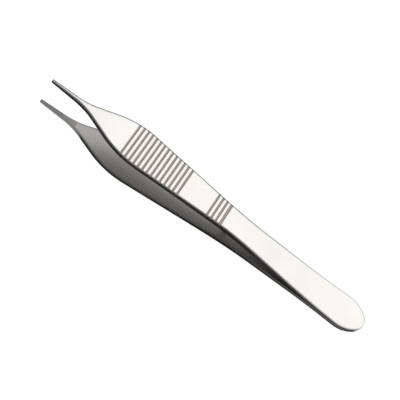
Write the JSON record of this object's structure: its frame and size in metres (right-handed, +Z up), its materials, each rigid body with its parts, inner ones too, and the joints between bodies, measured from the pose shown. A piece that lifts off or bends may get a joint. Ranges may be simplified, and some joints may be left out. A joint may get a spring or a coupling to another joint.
{
  "type": "thumb forceps",
  "caption": "Spring-armed thumb forceps with narrow tapering jaws, finely toothed at the tips, broad cross-grooved thumb plates and a rounded, welded rear end.",
  "frame": {"origin": "on the surface the forceps lie on, below the middle of the plain stretch between the two groove bands of the lower arm's thumb plate", "axes": "+Z up, out of the lower arm's outer face towards the upper arm; +X along the lower thumb plate, towards the tips; the forceps are mirror-symmetric about the XZ plane"},
  "size_m": [0.1203, 0.0128, 0.016],
  "materials": {
    "satin_steel": "satin ground stainless steel with fine lengthwise grain and softly rounded edges",
    "pin_steel": "turned stainless steel"
  },
  "bodies": {
    "lower": {"lower_arm": "satin_steel", "guide_pin": "pin_steel"},
    "upper": {"upper_arm": "satin_steel"}
  },
  "joints": [
    {"name": "arm_closing", "type": "hinge", "parent": "lower", "child": "upper", "pos_m": [-0.04214, 0, 0.00305], "axis": [0, 1, 0], "range_deg": [0, 7.5], "stiffness_Nm_per_rad": 2.4}
  ]
}
